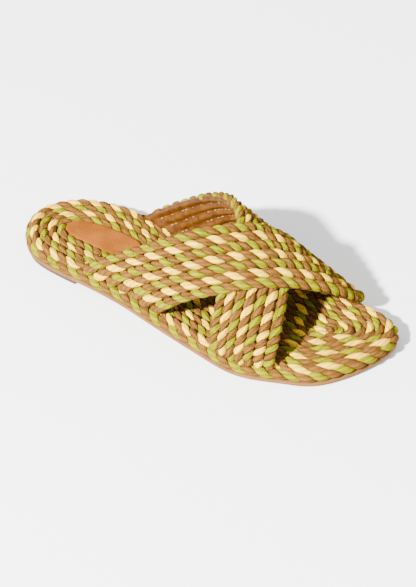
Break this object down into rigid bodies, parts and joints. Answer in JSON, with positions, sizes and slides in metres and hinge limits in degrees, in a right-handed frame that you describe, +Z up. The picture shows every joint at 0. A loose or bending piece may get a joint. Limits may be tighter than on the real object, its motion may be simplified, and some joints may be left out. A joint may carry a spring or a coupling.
{
  "type": "sandal",
  "caption": "Flat slip-on rope sandal, right shoe: coiled rope footbed on a thin rubber sole, under two wide rope straps that cross over the instep.",
  "frame": {"origin": "on the ground, below the middle of the whole shoe's bounding box", "axes": "+X towards the toe, +Y towards the big-toe (medial) side, +Z up; the sole stands on z = 0"},
  "size_m": [0.2506, 0.0972, 0.0675],
  "materials": {
    "outsole_rubber": "matt",
    "heel_rubber": "matt",
    "edge_rope": "matt yarn, brown with yellow",
    "coil_rope": "matt yarn, brown with cream and brown with yellow",
    "inner_coil_rope": "matt yarn, brown with cream and brown with yellow",
    "insert_leather": "satin",
    "strap_rope": "matt yarn, leather lined"
  },
  "bodies": {
    "root": {"outsole": "outsole_rubber", "heel_lift": "heel_rubber", "edge_rope": "edge_rope", "footbed_coil": "coil_rope", "forefoot_coil": "inner_coil_rope", "heel_insert": "insert_leather", "upper": "strap_rope"}
  },
  "joints": []
}
